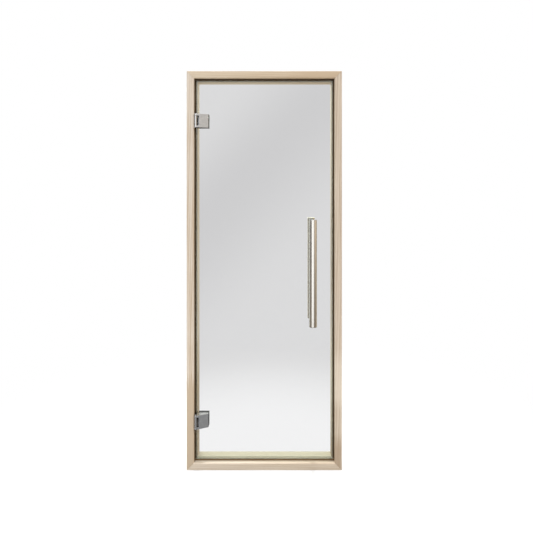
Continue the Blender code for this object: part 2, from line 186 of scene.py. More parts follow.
def addNode(tree, kind, inputs=None, stops=None, **settings):
    # one node with its settings, and its inputs given as values or as sockets to link
    node = tree.nodes.new("ShaderNode" + kind)
    for name, value in settings.items():
        setattr(node, name, value)
    for key, value in (inputs or {}).items():
        if isinstance(value, bpy.types.NodeSocket):
            tree.links.new(value, node.inputs[key])
        else:
            node.inputs[key].default_value = value
    for index, (position, code) in enumerate(stops or ()):
        ramp = node.color_ramp.elements
        point = ramp[index] if index < len(ramp) else ramp.new(position)
        point.position = position
        point.color = linear(code)
    return node


def newMaterial(name):
    material = bpy.data.materials.new(name)
    material.use_nodes = True
    material.node_tree.nodes.clear()
    return material, material.node_tree


def finishMaterial(tree, surface):
    output = tree.nodes.new("ShaderNodeOutputMaterial")
    tree.links.new(surface, output.inputs["Surface"])


# Timber frame: planed and sanded aspen, pale and straight-grained

timber = {
    "faceWidth": 33 * mm,
    "stopWidth": 12 * mm,
    "depth": 70 * mm,
    "rebateDepth": 34 * mm,
    "innerArris": 6 * mm,
    "stopArris": 1 * mm,
    "backArris": 3 * mm,
    "outerArris": 1.5 * mm,
    "sealStart": 7.5 * mm,      # depth from the face at which the seal's recess starts
    "sealRecess": 1.3 * mm,
    "mitreGap": 0.3 * mm,
    "easedEdge": 0.3 * mm,
    "ringSpacing": 5 * mm,      # growth rings, coarser than the real 2 mm so that they show
    "fibreWidth": 1.2 * mm,     # fibre streaks, coarser than the real 0.3 mm so that they show
    "toneWidth": 16 * mm,       # slow change of tone across a board
    "stretch": 0.03,            # how far the figure is drawn out along the board
    "ringShare": 0.22,          # how much rings, fibres and slow tone each add to the figure
    "fibreShare": 0.30,
    "toneShare": 0.75,
    "roughness": 0.52,
}
# the sill has no seal: its rebate floor goes brown near the glass as painted shade for the shadow gap under
# the pane, and the stop behind is painted pale as painted light
sillPaintedShadeAndLight = {
    "paintedShadeTone": "#8a6a48",
    "paintedShadeStarts": 18 * mm,       # depths from the face of the frame
    "paintedShadeFull": 22 * mm,
    "paintedLightStarts": 33.6 * mm,
    "paintedLightFull": 33.9 * mm,
    "paintedLightTones": [(34 * mm, "#fff9e6"), (36 * mm, "#ddd3c0")],
}
# place in the grain figure, shift to dark at the board's start, its changes as (from, to, by) with places
# in metres along the board, and the pale, middle and dark tones; the shifts and the tones from board to board
# are partly the wood's own tone and partly painted light: darker to the right and lower down, paler on the
# left jamb
boards = {
    "sill": (3.1, -0.1, [(0.0, 0.7, 0.27)], "#e6d8c7", "#deceba", "#cfbba3"),
    "strike_jamb": (7.7, 0.27, [(0.1, 0.17, -0.27), (0.27, 0.33, -0.19), (0.47, 0.55, 0.19)],
                    "#e4d6c3", "#d2c1ad", "#b8a28a"),
    "head": (12.3, 0.34, [(0.1, 0.26, -0.26), (0.26, 0.7, -0.18)], "#e3d6c1", "#dccab1", "#ceb79a"),
    "hinge_jamb": (17.9, -0.06,
                   [(0.18, 0.3, 0.15), (0.75, 0.87, -0.1), (1.19, 1.25, 0.1), (1.36, 1.44, 0.3)],
                   "#e9ded0", "#e1d4c4", "#cbb79e"),
}


def paintSillShadeAndLight(tree, coords, colour):
    depth = addNode(tree, "SeparateXYZ", {0: coords}).outputs["Y"]
    # painted shade: the rebate floor turns brown towards the glass, for the shadow gap under the pane
    paintedShadeShare = addNode(tree, "MapRange", {
        "Value": depth, "From Min": sillPaintedShadeAndLight["paintedShadeStarts"], "From Max": sillPaintedShadeAndLight["paintedShadeFull"],
    }).outputs["Result"]
    colour = addNode(tree, "MixRGB", {
        "Fac": paintedShadeShare, "Color1": colour, "Color2": linear(sillPaintedShadeAndLight["paintedShadeTone"]),
    }).outputs["Color"]
    # painted light: the stop behind the glass turns pale, as if lit from above
    paintedLightShare = addNode(tree, "MapRange", {
        "Value": depth, "From Min": sillPaintedShadeAndLight["paintedLightStarts"], "From Max": sillPaintedShadeAndLight["paintedLightFull"],
    }).outputs["Result"]
    paintedLightTone = addNode(tree, "ValToRGB", {"Fac": depth}, stops=sillPaintedShadeAndLight["paintedLightTones"]).outputs["Color"]
    return addNode(tree, "MixRGB", {"Fac": paintedLightShare, "Color1": colour, "Color2": paintedLightTone}).outputs["Color"]


def planedAspen(name, offset, startToneAndShade, toneAndShadeSteps, pale, middle, dark):
    # a pale, nearly even wood: faint straight streaks, a soft satin where it was sanded
    material, tree = newMaterial(name)
    coords = addNode(tree, "TexCoord").outputs["Object"]
    figure = addNode(tree, "Mapping", {
        "Vector": coords,
        "Location": (offset, offset * 0.37, offset * 0.61),
        "Scale": (timber["stretch"], 1, 1),
    }).outputs["Vector"]
    tone = addNode(tree, "TexNoise", {
        "Vector": figure, "Scale": 1 / timber["toneWidth"], "Detail": 2.0, "Roughness": 0.5,
    }).outputs["Fac"]
    rings = addNode(tree, "TexWave", {
        "Vector": figure, "Scale": math.pi / 10 / timber["ringSpacing"], "Distortion": 5.0,
        "Detail": 2.0, "Detail Scale": 0.35,
    }, wave_type="BANDS", bands_direction="DIAGONAL", wave_profile="SAW").outputs["Fac"]
    fibres = addNode(tree, "TexNoise", {
        "Vector": figure, "Scale": 1 / timber["fibreWidth"], "Detail": 3.0, "Roughness": 0.6,
    }).outputs["Fac"]
    ringShare = addNode(tree, "Math", {0: rings, 1: timber["ringShare"]}, operation="MULTIPLY").outputs[0]
    fibreShare = addNode(tree, "Math", {0: fibres, 1: timber["fibreShare"]}, operation="MULTIPLY").outputs[0]
    toneShare = addNode(tree, "Math", {0: tone, 1: timber["toneShare"]}, operation="MULTIPLY").outputs[0]
    lines = addNode(tree, "Math", {0: ringShare, 1: fibreShare}, operation="ADD").outputs[0]
    mixed = addNode(tree, "Math", {0: lines, 1: toneShare}, operation="ADD").outputs[0]
    # the shifts along the board are partly painted light: darker away from the light on the left and above
    along = addNode(tree, "SeparateXYZ", {0: coords}).outputs["X"]
    mixed = addNode(tree, "Math", {0: mixed, 1: startToneAndShade}, operation="ADD").outputs[0]
    for begin, end, change in toneAndShadeSteps:
        shift = addNode(tree, "MapRange", {
            "Value": along, "From Min": begin, "From Max": end, "To Max": change,
        }).outputs["Result"]
        mixed = addNode(tree, "Math", {0: mixed, 1: shift}, operation="ADD").outputs[0]
    tones = [(0.38, pale), (0.62, middle), (0.86, dark)]
    colour = addNode(tree, "ValToRGB", {"Fac": mixed}, stops=tones).outputs["Color"]
    shine = addNode(tree, "MapRange", {
        "Value": fibres, "To Min": timber["roughness"] - 0.06, "To Max": timber["roughness"] + 0.08,
    }).outputs["Result"]
    grain = addNode(tree, "Bump", {"Height": lines, "Strength": 0.25, "Distance": 0.2 * mm}).outputs["Normal"]
    if name == "planedAspen_sill":
        colour = paintSillShadeAndLight(tree, coords, colour)
    surface = addNode(tree, "BsdfPrincipled", {
        "Base Color": colour, "Roughness": shine, "Normal": grain, "IOR": 1.45,
    })
    finishMaterial(tree, surface.outputs[0])
    return material


def timberOutline():
    # face, rounded arris, recess for the seal's leg, and the stop
    inner = timber["faceWidth"] + timber["stopWidth"]
    recess = timber["faceWidth"] - timber["sealRecess"]
    return rounded([
        (0, 0, timber["outerArris"]),
        (timber["faceWidth"], 0, timber["innerArris"]),
        (timber["faceWidth"], timber["sealStart"], 0),
        (recess, timber["sealStart"], 0),
        (recess, timber["rebateDepth"], 0),
        (inner, timber["rebateDepth"], timber["stopArris"]),
        (inner, timber["depth"], timber["backArris"]),
        (0, timber["depth"], timber["outerArris"]),
    ])


def makeFrame():
    left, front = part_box("hinge_jamb")[0].xy
    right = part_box("strike_jamb")[1].x
    bottom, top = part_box("sill")[0].z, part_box("head")[1].z
    runs = {
        "sill": (left, bottom, 0, right - left),
        "strike_jamb": (right, bottom, -90, top - bottom),
        "head": (right, top, 180, right - left),
        "hinge_jamb": (left, top, 90, top - bottom),
    }
    outline = timberOutline()
    trim = timber["mitreGap"] / math.sqrt(2)
    for name, (x, z, turn, length) in runs.items():
        start = [(inward + trim, depth, inward) for inward, depth in outline]
        stop = [(length - inward - trim, depth, inward) for inward, depth in outline]
        rotation = (0, math.radians(turn), 0)
        board = makeObject(name + "_board", loft([start, stop]), (x, front, z), rotation)
        wood = planedAspen("planedAspen_" + name, *boards[name])
        dress(board, "door_frame", [wood], [name], timber["easedEdge"])


makeFrame()
print("timber frame made")


# Seal: dark brown silicone strip in the rebate

def brownSilicone():
    # moulded rubber: soft, dull, a little dusty
    material, tree = newMaterial("brownSilicone")
    coords = addNode(tree, "TexCoord").outputs["Object"]
    dust = addNode(tree, "TexNoise", {"Vector": coords, "Scale": 1 / (9 * mm), "Detail": 3.0}).outputs["Fac"]
    tones = [(0.35, "#5e4730"), (0.7, "#6e5439")]
    colour = addNode(tree, "ValToRGB", {"Fac": dust}, stops=tones).outputs["Color"]
    skin = addNode(tree, "TexNoise", {"Vector": coords, "Scale": 1 / (0.8 * mm)}).outputs["Fac"]
    bump = addNode(tree, "Bump", {"Height": skin, "Strength": 0.2, "Distance": 0.05 * mm}).outputs["Normal"]
    surface = addNode(tree, "BsdfPrincipled", {
        "Base Color": colour, "Roughness": 0.55, "Normal": bump, "IOR": 1.41,
    })
    finishMaterial(tree, surface.outputs[0])
    return material


def blackRubber():
    # pressed rubber sheet: flat black with a faint grain
    material, tree = newMaterial("blackRubber")
    coords = addNode(tree, "TexCoord").outputs["Object"]
    grain = addNode(tree, "TexNoise", {
        "Vector": coords, "Scale": 1 / (0.6 * mm), "Detail": 2.0,
    }).outputs["Fac"]
    tones = [(0.3, "#141414"), (0.7, "#1f1f1e")]
    colour = addNode(tree, "ValToRGB", {"Fac": grain}, stops=tones).outputs["Color"]
    bump = addNode(tree, "Bump", {"Height": grain, "Strength": 0.3, "Distance": 0.05 * mm}).outputs["Normal"]
    surface = addNode(tree, "BsdfPrincipled", {"Base Color": colour, "Roughness": 0.7, "Normal": bump})
    finishMaterial(tree, surface.outputs[0])
    return material


def repaint(nodes, material):
    for name in nodes:
        mesh = frame["nodes"][name].data
        mesh.materials.clear()
        mesh.materials.append(material)


silicone, rubber = brownSilicone(), blackRubber()
repaint(["seal_hinge_side", "seal_strike_side", "seal_top"], silicone)
repaint([f"{end}_{side}_gasket" for end in ("upper", "lower") for side in ("front", "back")], rubber)
print("seals and gaskets painted")


# Metals

# painted shade: the dark tone given to the chrome where it faces aside or down
chromeRimPaintedShade = {
    "tone": "#3a3a3e",
    "starts": 0.7,              # how far a rim faces aside or down: 1 is squarely
    "full": 0.9,
}


def satinChrome(name, upright):
    # chrome plate over a casting: grey and softly mirroring, with painted shade on its free side and
    # underside, which get a dark tone and a dark reflection tint; upright says how the part along Z counts,
    # below only or above too
    material, tree = newMaterial(name)
    coords = addNode(tree, "TexCoord").outputs["Object"]
    blast = addNode(tree, "TexNoise", {
        "Vector": coords, "Scale": 1 / (0.7 * mm), "Detail": 2.0,
    }).outputs["Fac"]
    cloud = addNode(tree, "TexNoise", {
        "Vector": coords, "Scale": 1 / (14 * mm), "Detail": 2.0,
    }).outputs["Fac"]
    tones = [(0.3, "#c6c6c8"), (0.7, "#cfcfcf")]
    ground = addNode(tree, "ValToRGB", {"Fac": cloud}, stops=tones).outputs["Color"]
    facing = addNode(tree, "SeparateXYZ", {0: addNode(tree, "TexCoord").outputs["Normal"]}).outputs
    below = addNode(tree, "Math", {0: facing["Z"], 1: -1}, operation=upright).outputs[0]
    outward = addNode(tree, "Math", {0: facing["X"], 1: below}, operation="MAXIMUM").outputs[0]
    # painted shade: faces turned aside or down go dark in colour and in reflection
    rim = addNode(tree, "MapRange", {
        "Value": outward, "From Min": chromeRimPaintedShade["starts"], "From Max": chromeRimPaintedShade["full"],
    }).outputs["Result"]
    dark, white = linear(chromeRimPaintedShade["tone"]), (1, 1, 1, 1)
    colour = addNode(tree, "MixRGB", {"Fac": rim, "Color1": ground, "Color2": dark}).outputs["Color"]
    paintedRimReflection = addNode(tree, "MixRGB", {"Fac": rim, "Color1": white, "Color2": dark}).outputs["Color"]
    shine = addNode(tree, "MapRange", {"Value": blast, "To Min": 0.20, "To Max": 0.30}).outputs["Result"]
    bump = addNode(tree, "Bump", {"Height": blast, "Strength": 0.15, "Distance": 0.03 * mm}).outputs["Normal"]
    surface = addNode(tree, "BsdfPrincipled", {
        "Base Color": colour, "Specular Tint": paintedRimReflection, "Metallic": 1.0,
        "Roughness": shine, "Normal": bump,
    })
    finishMaterial(tree, surface.outputs[0])
    return material


def brushedStainless():
    # stainless tube belted along its length: fine hairlines, a long soft highlight
    material, tree = newMaterial("brushedStainless")
    coords = addNode(tree, "TexCoord").outputs["Object"]
    lines = addNode(tree, "Mapping", {"Vector": coords, "Scale": (1, 1, 0.02)}).outputs["Vector"]
    hair = addNode(tree, "TexNoise", {"Vector": lines, "Scale": 1 / (0.8 * mm), "Detail": 2.0}).outputs["Fac"]
    tones = [(0.3, "#cdcac4"), (0.7, "#d7d4cf")]
    colour = addNode(tree, "ValToRGB", {"Fac": hair}, stops=tones).outputs["Color"]
    shine = addNode(tree, "MapRange", {"Value": hair, "To Min": 0.16, "To Max": 0.26}).outputs["Result"]
    bump = addNode(tree, "Bump", {"Height": hair, "Strength": 0.12, "Distance": 0.03 * mm}).outputs["Normal"]
    surface = addNode(tree, "BsdfPrincipled", {
        "Base Color": colour, "Metallic": 1.0, "Roughness": shine, "Normal": bump,
    })
    finishMaterial(tree, surface.outputs[0])
    return material


def turnedStainless():
    # turned screws and pins: brighter, with rings left by the lathe
    material, tree = newMaterial("turnedStainless")
    coords = addNode(tree, "TexCoord").outputs["Object"]
    rings = addNode(tree, "TexWave", {
        "Vector": coords, "Scale": math.pi / 10 / (0.6 * mm), "Distortion": 0.5,
    }, wave_type="RINGS", rings_direction="Z").outputs["Fac"]
    shine = addNode(tree, "MapRange", {"Value": rings, "To Min": 0.22, "To Max": 0.34}).outputs["Result"]
    surface = addNode(tree, "BsdfPrincipled", {
        "Base Color": linear("#c9c7c4"), "Metallic": 1.0, "Roughness": shine,
    })
    finishMaterial(tree, surface.outputs[0])
    return material


chrome, rearChrome = satinChrome("satinChrome", "MULTIPLY"), satinChrome("rearChrome", "ABSOLUTE")
steel, screwSteel = brushedStainless(), turnedStainless()


# Hinges: two plates that clamp the glass, an ear above and below the knuckle on the jamb

hinge = {
    "height": 62 * mm,
    "reach": 63.7 * mm,         # reaches are measured from the rebate's side into the opening
    "pinReach": 9 * mm,
    "pinProud": 4 * mm,         # the pin stands so far in front of the frame's face
    "pinRadius": 3 * mm,
    "pinSink": 0.5 * mm,
    "earRadius": 7 * mm,
    "earHeight": 9 * mm,
    "knuckleRadius": 5.5 * mm,
    "knuckleGap": 0.4 * mm,
    "pocketReach": 23.5 * mm,
    "pocketWall": 3.4 * mm,
    "pocketRound": 3 * mm,
    "heelReach": 14 * mm,
    "edge": 10.4 * mm,          # thickness at the clamp's free side
    "plateFace": 1.5 * mm,
    "plateWidth": 10.6 * mm,
    "plateSink": 1 * mm,        # the plate is let in so far
    "gasketSpace": 1.6 * mm,
    "fit": 0.3 * mm,
    "arris": 1.2 * mm,
    "softEdge": 0.4 * mm,
    "pinEase": 0.5 * mm,        # eased rim at the pin's ends
    "webStarts": 0.1,           # where the knuckle's web meets the plate, as shares of its width
    "webEnds": 0.75,
    "waist": 0.55,              # how far in the web leaves the knuckle, as a share of its radius
}
glassSetback = 22 * mm          # from the frame's face to the pane
overrun = 4 * mm                # by which cutters pass what they cut


def fromPin(reach, depth):
    # plan about the pin of a place so far from the rebate's side and so deep from the frame's face
    return Vector((reach - hinge["pinReach"], depth + hinge["pinProud"]))


def frontClampOutline():
    # plan about the pin: an ear, a sloping face, the back on the glass
    free, back = fromPin(hinge["reach"], glassSetback - hinge["gasketSpace"])
    faceEnd = Vector((free, back - hinge["edge"]))
    heel = fromPin(hinge["heelReach"], glassSetback - hinge["gasketSpace"])
    first = tangentAngle(heel, hinge["earRadius"], 1)
    last = tangentAngle(faceEnd, hinge["earRadius"], -1) + 2 * math.pi
    return [*arc((0, 0), hinge["earRadius"], first, last, 28), faceEnd, Vector((free, back)), heel]


def armOutline():
    # plan of the knuckle and of the web that carries it from the plate on the jamb
    plate, start = fromPin(hinge["plateFace"] - hinge["plateSink"], timber["sealStart"] + hinge["fit"])
    frontRoot = Vector((plate, start + hinge["webStarts"] * hinge["plateWidth"]))
    backRoot = Vector((plate, start + hinge["webEnds"] * hinge["plateWidth"]))
    waist = Vector((-hinge["waist"] * hinge["knuckleRadius"], hinge["knuckleRadius"] + hinge["pinRadius"]))
    first = tangentAngle(frontRoot, hinge["knuckleRadius"], 1)
    last = tangentAngle(waist, hinge["knuckleRadius"], -1) + 2 * math.pi
    return [*arc((0, 0), hinge["knuckleRadius"], first, last, 40), waist, backRoot, frontRoot]


def makeBore(half, place):
    # cutter for the pin's hole
    radius = hinge["pinRadius"] + hinge["fit"]
    return makeObject("bore", turned([(radius, -half - overrun), (radius, half + overrun)]), place)


def makeHinge(which):
    low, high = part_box(which + "_front_clamp")
    middle = (low.z + high.z) / 2
    atPin = (pinX, pinY, middle)
    half = hinge["height"] / 2
    knuckle = half - hinge["earHeight"] - hinge["knuckleGap"]

    plateLow = fromPin(-hinge["plateSink"], timber["sealStart"] + hinge["fit"])
    plateHigh = Vector((hinge["plateFace"] - hinge["pinReach"], plateLow.y + hinge["plateWidth"]))
    leaf = makeObject(which + "_leaf", block((*plateLow, -half), (*plateHigh, half)), atPin)
    combine(leaf, [makeObject("arm", prism(armOutline(), -knuckle, knuckle), atPin)], "UNION")
    combine(leaf, [makeBore(half, atPin)])
    dress(leaf, "door_frame", [chrome], [which + "_jamb_leaf"], hinge["softEdge"])

    front = makeObject(which + "_clamp", prism(frontClampOutline(), -half, half), atPin)
    pocketLow = (-hinge["earRadius"] - overrun, -hinge["earRadius"] - overrun)
    pocketHigh = fromPin(hinge["pocketReach"], glassSetback - hinge["gasketSpace"] - hinge["pocketWall"])
    tall = half - hinge["earHeight"]
    window = rounded([
        (pocketLow[0], -tall, 0), (pocketHigh.x, -tall, hinge["pocketRound"]),
        (pocketHigh.x, tall, hinge["pocketRound"]), (pocketLow[0], tall, 0),
    ])
    pocket = loft([[(x, y, z) for x, z in window] for y in (pocketLow[1], pocketHigh.y)])
    combine(front, [makeObject("pocket", pocket, atPin), makeBore(half, atPin)])
    dress(front, "door_leaf", [chrome], [which + "_front_clamp"], hinge["arris"])

    low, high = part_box(which + "_back_clamp")
    back = makeObject(which + "_rear_clamp", block(low, high))
    dress(back, "door_leaf", [rearChrome], [which + "_back_clamp"], hinge["arris"])

    reach = half - hinge["pinSink"]
    radius, ease = hinge["pinRadius"], hinge["pinEase"]
    profile = [(radius - ease, -reach), (radius, ease - reach)]
    profile += [(radius, reach - ease), (radius - ease, reach)]
    pin = makeObject(which + "_pin", turned(profile, 48), atPin)
    dress(pin, "door_frame", [screwSteel], [which + "_hinge_pin"])


for which in ("upper", "lower"):
    makeHinge(which)
print("hinges made")


# Screws: countersunk heads, a cross recess in those of the leaf and a hex one in those of the clamp

screws = {
    "leaf": {"radius": 1.75 * mm, "head": 3.5 * mm, "recess": 2.2 * mm, "sink": 1.2 * mm},
    "clamp": {"radius": 3 * mm, "head": 5.5 * mm, "recess": 2.3 * mm, "sink": 2.5 * mm},
    "headRim": 0.3 * mm,
    "crossArm": 0.3,            # half width of the cross as a share of its reach
}


def countersunk(size, length):
    rim, cone = screws["headRim"], size["head"] - size["radius"]
    profile = [(size["head"], 0), (size["head"], -rim), (size["radius"], -rim - cone)]
    return turned([*profile, (size["radius"], -length)], 48)


def crossRecess(size):
    wide, thin = size["recess"], size["recess"] * screws["crossArm"]
    quarter = [(thin, thin), (thin, wide), (-thin, wide)]
    outline = []
    for turn in range(4):
        angle = math.radians(90 * turn)
        outline += [Matrix.Rotation(angle, 2) @ Vector(point) for point in quarter]
    return prism(outline, -size["sink"], overrun)


def hexRecess(size):
    outline = arc((0, 0), size["recess"], 0, 2 * math.pi, 6)[:-1]
    return prism(outline, -size["sink"], overrun)


def makeScrew(node, kind, body, turn):
    size = screws[kind]
    low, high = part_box(node)
    middle = (low + high) / 2
    if kind == "leaf":
        place, length, recess = (high.x, middle.y, middle.z), high.x - low.x, crossRecess(size)
    else:
        place, length, recess = (middle.x, high.y, middle.z), high.y - low.y, hexRecess(size)
    screw = makeObject(node + "_turned", countersunk(size, length), place, turn)
    combine(screw, [makeObject("recess", recess, place, turn)])
    dress(screw, body, [screwSteel], [node])


for which in ("upper", "lower"):
    for end in ("high", "low"):
        makeScrew(f"{which}_leaf_screw_{end}", "leaf", "door_frame", (0, math.radians(90), 0))
        makeScrew(f"{which}_clamp_screw_{end}", "clamp", "door_leaf", (math.radians(-90), 0, 0))
print("screws made")


# Glass leaf: tempered float glass, light grey in the mass, with ground and polished edges

glass = {
    "arris": 0.8 * mm,
    "holeRadius": 7 * mm,
    "tint": "#e8ebe5",          # what is left of white light after the pane
    "lampTint": "#f4f6f3",      # the same for light on its way to what stands behind
    "edgeTint": "#9fb3a8",      # the long way through the pane is greener
    "index": 1.52,
    "broadFace": 0.99,          # how squarely a face looks front or back to count as a broad one
    "rollerWave": 0.3,          # metres between the waves that tempering rollers leave
}


def tintedGlass():
    # clear body, a mirror-smooth face, and a faint waviness from the tempering rollers
    material, tree = newMaterial("tintedTemperedGlass")
    coords = addNode(tree, "TexCoord").outputs["Object"]
    waves = addNode(tree, "TexNoise", {
        "Vector": coords, "Scale": 1 / glass["rollerWave"], "Detail": 0.0,
    }).outputs["Fac"]
    bump = addNode(tree, "Bump", {"Height": waves, "Strength": 0.02, "Distance": 1 * mm}).outputs["Normal"]
    body = addNode(tree, "BsdfPrincipled", {
        "Base Color": linear(glass["tint"]), "Roughness": 0.0, "IOR": glass["index"],
        "Transmission Weight": 1.0, "Normal": bump,
    }).outputs[0]
    # light from lamps and from lit surfaces goes straight through, only dimmed
    clear = addNode(tree, "BsdfTransparent", {"Color": linear(glass["lampTint"])}).outputs[0]
    rays = addNode(tree, "LightPath").outputs
    bounced = addNode(tree, "MixShader", {0: rays["Is Diffuse Ray"], 1: body, 2: clear}).outputs[0]
    lit = addNode(tree, "MixShader", {0: rays["Is Shadow Ray"], 1: bounced, 2: clear}).outputs[0]
    finishMaterial(tree, lit)
    return material


def polishedEdge():
    # the same glass seen edge on: darker, greener, a little hazy from the wheel
    material, tree = newMaterial("polishedGlassEdge")
    coords = addNode(tree, "TexCoord").outputs["Object"]
    wheel = addNode(tree, "TexNoise", {"Vector": coords, "Scale": 1 / (4 * mm), "Detail": 2.0}).outputs["Fac"]
    haze = addNode(tree, "MapRange", {"Value": wheel, "To Min": 0.1, "To Max": 0.2}).outputs["Result"]
    body = addNode(tree, "BsdfPrincipled", {
        "Base Color": linear(glass["edgeTint"]), "Roughness": haze, "IOR": glass["index"],
        "Transmission Weight": 0.8,
    }).outputs[0]
    finishMaterial(tree, body)
    return material


def makeGlass():
    low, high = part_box("glass_pane")
    loops = []
    for y, inset in ((low.y, 1), (low.y + glass["arris"], 0), (high.y - glass["arris"], 0), (high.y, 1)):
        step = glass["arris"] * inset
        x0, x1, z0, z1 = low.x + step, high.x - step, low.z + step, high.z - step
        loops.append([(x0, y, z0), (x1, y, z0), (x1, y, z1), (x0, y, z1)])
    pane = makeObject("glass_leaf", loft(loops))
    holes = []
    bolts = ("handle_bolt", "upper_clamp_screw", "lower_clamp_screw")
    for node in [f"{bolt}_{end}" for bolt in bolts for end in ("high", "low")]:
        boltLow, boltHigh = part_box(node)
        middle = (boltLow + boltHigh) / 2
        drill = turned([(glass["holeRadius"], low.y - overrun), (glass["holeRadius"], high.y + overrun)], 48)
        holes.append(makeObject("hole", drill, (middle.x, 0, middle.z), (math.radians(-90), 0, 0)))
    combine(pane, holes)
    for face in pane.data.polygons:
        # the two broad faces are clear, and what is turned from them is ground edge
        face.material_index = 0 if abs(face.normal.y) > glass["broadFace"] else 1
    dress(pane, "door_leaf", [tintedGlass(), polishedEdge()], ["glass_pane"], sharp=20)


makeGlass()
print("glass made")


# Handle: a stainless tube each side of the glass, on posts bolted through it

handle = {
    "tubeRadius": 17.3 * mm,
    "tubeWall": 1.5 * mm,
    "capThickness": 2.5 * mm,
    "capGap": 0.3 * mm,
    "capSpigot": 8 * mm,
    "capArris": 0.8 * mm,
    "tubeArris": 0.2 * mm,
    "postRadius": 9 * mm,
    "washerRadius": 11 * mm,
    "washerHole": 4.3 * mm,
    "washerArris": 0.3 * mm,
    "saddleReach": 100 * mm,    # half length of the cutter that seats a post against the tube
    "sides": 96,
}


def makeTube(side):
    low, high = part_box(side + "_handle_tube")
    axis = ((low.x + high.x) / 2, (low.y + high.y) / 2)
    outer, inner, ease = handle["tubeRadius"], handle["tubeRadius"] - handle["tubeWall"], handle["tubeArris"]
    middle, half = (low.z + high.z) / 2, (high.z - low.z) / 2
    profile = [(outer, ease - half), (outer, half - ease), (outer - ease, half), (inner, half)]
    profile += [(inner, -half), (outer - ease, -half)]
    tube = makeObject(side + "_tube", turned(profile, handle["sides"], closed=True), (*axis, middle))
    dress(tube, "door_leaf", [steel], [side + "_handle_tube"])
    for end, way in (("top", 1), ("bottom", -1)):
        seat = middle + way * (half + handle["capGap"])
        spigot = inner - handle["capGap"]
        bend = handle["capArris"]
        rim = arc((outer - bend, handle["capThickness"] - bend), bend, math.pi / 2, 0, 5)
        profile = [*rim, (outer, 0), (spigot, 0), (spigot, -handle["capSpigot"])]
        turn = (0, 0, 0) if way > 0 else (math.pi, 0, 0)
        cap = makeObject(f"{side}_cap_{end}", turned(profile, handle["sides"]), (*axis, seat), turn)
        dress(cap, "door_leaf", [steel], [f"{side}_handle_cap_{end}"])


def makePosts(side, way):
    tubeLow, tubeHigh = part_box(side + "_handle_tube")
    axis = (tubeLow + tubeHigh) / 2
    for end in ("high", "low"):
        washerLow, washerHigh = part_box(f"{side}_washer_{end}")
        place = (washerLow + washerHigh) / 2
        thick = (washerHigh.y - washerLow.y) / 2
        ease = handle["washerArris"]
        profile = [(handle["washerRadius"] - ease, -thick), (handle["washerRadius"], ease - thick)]
        profile += [(handle["washerRadius"], thick - ease), (handle["washerRadius"] - ease, thick)]
        profile += [(handle["washerHole"], thick), (handle["washerHole"], -thick)]
        turn = (math.radians(90), 0, 0)
        washer = makeObject(f"{side}_ring_{end}", turned(profile, closed=True), place, turn)
        dress(washer, "door_leaf", [rubber], [f"{side}_washer_{end}"])

        postLow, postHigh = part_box(f"{side}_post_{end}")
        foot = postHigh.y if way < 0 else postLow.y
        tip = axis.y - way * handle["tubeRadius"] / 2
        reach = abs(tip - foot)
        ease = handle["tubeArris"]
        radius = handle["postRadius"]
        profile = [(radius - ease, 0), (radius, ease), (radius, reach)]
        stand = (math.radians(-90 * way), 0, 0)
        post = makeObject(f"{side}_stand_{end}", turned(profile), (place.x, foot, place.z), stand)
        seat, past = handle["tubeRadius"] + handle["capGap"], handle["saddleReach"]
        saddle = turned([(seat, -past), (seat, past)], handle["sides"])
        combine(post, [makeObject("saddle", saddle, (axis.x, axis.y, place.z))])
        dress(post, "door_leaf", [steel], [f"{side}_post_{end}"])


for side, way in (("outer", -1), ("inner", 1)):
    makeTube(side)
    makePosts(side, way)
repaint(["handle_bolt_high", "handle_bolt_low"], screwSteel)
print("handle made")


# Studio: white floor and backdrop, a lit window wall in front, a lamp overhead

studio = {
    "floorSize": 8.0,
    "floorPaint": "#a0a0a0",
    "floorMirrored": "#7a7a7c",  # what metal and glass mirror of the floor
    "floorCamera": 0.66,        # light that the floor adds of its own for the camera, so that it stays white
    "floorNear": 0.35,          # metres from the door's foot to which the floor is solid,
    "floorFar": 1.7,            # and where it has faded into the backdrop
    "poolTone": "#fbf8ff",
    "poolLight": 1.17,          # the floor behind the door as seen through the glass
    # the backdrop seen through the glass, with one soft slanting shade: slope and tone
    "backdrop": [
        (-0.62, "#ffffff"), (-0.47, "#eae7ee"), (-0.37, "#eae7ee"), (-0.126, "#dad7de"), (0.22, "#eae7ee"),
    ],
    "slopeSpan": 0.8,           # steepest slope that the shade's tones reach
    "leftTone": "#949494",
    # lights of the room laid over each other: tone, strength, and sides as the direction's part along an axis
    "room": [
        ("#dcd6ce", 1.0, [("X", -0.6, 0.5)]),                           # warm wall on the right
        ("#f0ddc5", 1.08, [("X", 0.6, 0.85), ("Z", -0.3, -0.16)]),      # tan wall far right
        ("#5c5a50", 1.0, [("X", 0.84, 0.95), ("Z", -0.17, -0.3)]),      # dark bench under it
        ("#8f857a", 1.0, [("Z", -0.05, -0.32)]),                        # low down
        ("#ffecc9", 1.15, [("Y", 0.0, 0.5)]),                           # pale wall behind the door
        ("#fbfbff", 1.07, [("Y", 0.05, 0.5), ("X", -0.1, -0.5)]),       # the left of that wall
        ("#fcffea", 2.7, [("Y", 0.05, 0.4), ("Z", -0.05, 0.3)]),        # high window in it
        # the brightest part of the window, on the left
        ("#fcffea", 4.9, [("Y", 0.05, 0.4), ("Z", -0.05, 0.3), ("X", -0.1, -0.5)]),
        ("#dfc8a4", 1.05, [("Y", -0.05, 0.3), ("X", 0.35, 0.65)]),      # timber wall behind on the right
        ("#ffffff", 1.25, [("Z", 0.2, 0.8)]),                           # ceiling
        # large window in front
        ("#ffffff", 1.65, [("X", -0.66, -0.54), ("X", 0.44, 0.31), ("Z", -0.4, -0.33),
                           ("Z", 0.72, 0.56), ("Y", -0.1, -0.3)]),
    ],
    "lampTone": "#f4faff",
    "lampStrength": 1.8,
    "lampTilt": (0.27, 0.2),    # degrees forward and to the left of overhead
    "lampAngle": 0.7,           # degrees that the lamp takes up in the sky
}


